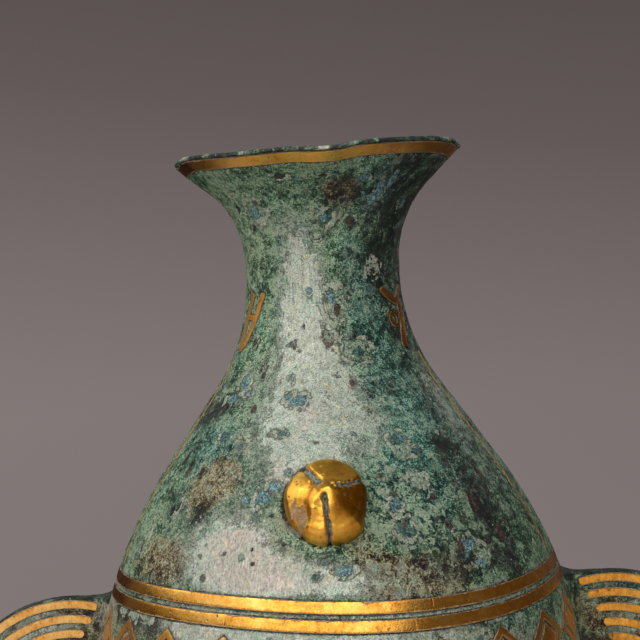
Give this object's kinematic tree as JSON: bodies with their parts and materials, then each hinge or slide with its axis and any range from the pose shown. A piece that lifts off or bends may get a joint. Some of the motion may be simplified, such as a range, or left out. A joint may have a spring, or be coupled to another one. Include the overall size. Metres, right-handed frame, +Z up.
{
  "type": "bronze hu vessel",
  "caption": "Pear-shaped bronze wine vessel with a trumpet mouth, strap handles on both sides, a ring foot, raised bosses and gold inlay.",
  "frame": {"origin": "middle of the foot ring's lower face", "axes": "+Z up through the mouth, -Y out of the front boss, handles along X"},
  "size_m": [0.354, 0.2138, 0.341],
  "materials": {
    "body_bronze": "aged bronze with grey, green and blue patina",
    "foot_bronze": "aged bronze with dark green patina",
    "handle_bronze": "aged bronze with dark olive patina",
    "inner_bronze": "rough dark bronze",
    "band_gold": "worn gold sheet",
    "lozenge_gold": "worn gold sheet with crust on its edges",
    "line_gold": "worn gold strip",
    "stripe_gold": "worn gold strip",
    "boss_gold": "dented gold sheet"
  },
  "bodies": {
    "root": {"vessel_body": "body_bronze", "ring_foot": "foot_bronze", "left_handle": "handle_bronze", "right_handle": "handle_bronze", "left_handle_tenon_caps": "inner_bronze", "right_handle_tenon_caps": "inner_bronze", "front_boss_stud": "inner_bronze", "rear_boss_stud": "inner_bronze", "front_boss_rove": "inner_bronze", "rear_boss_rove": "inner_bronze", "front_boss_cap": "boss_gold", "rear_boss_cap": "boss_gold", "rim_band": "band_gold", "shoulder_band_upper": "band_gold", "shoulder_band_lower": "band_gold", "belly_band_upper": "band_gold", "belly_band_lower": "band_gold", "lozenge_frames": "lozenge_gold", "lozenge_centres": "lozenge_gold", "left_neck_inlay_front": "line_gold", "left_neck_inlay_rear": "line_gold", "right_neck_inlay_front": "line_gold", "right_neck_inlay_rear": "line_gold", "left_side_lines": "line_gold", "right_side_lines": "line_gold", "left_handle_stripes_front": "stripe_gold", "left_handle_stripes_rear": "stripe_gold", "right_handle_stripes_front": "stripe_gold", "right_handle_stripes_rear": "stripe_gold"}
  },
  "joints": []
}
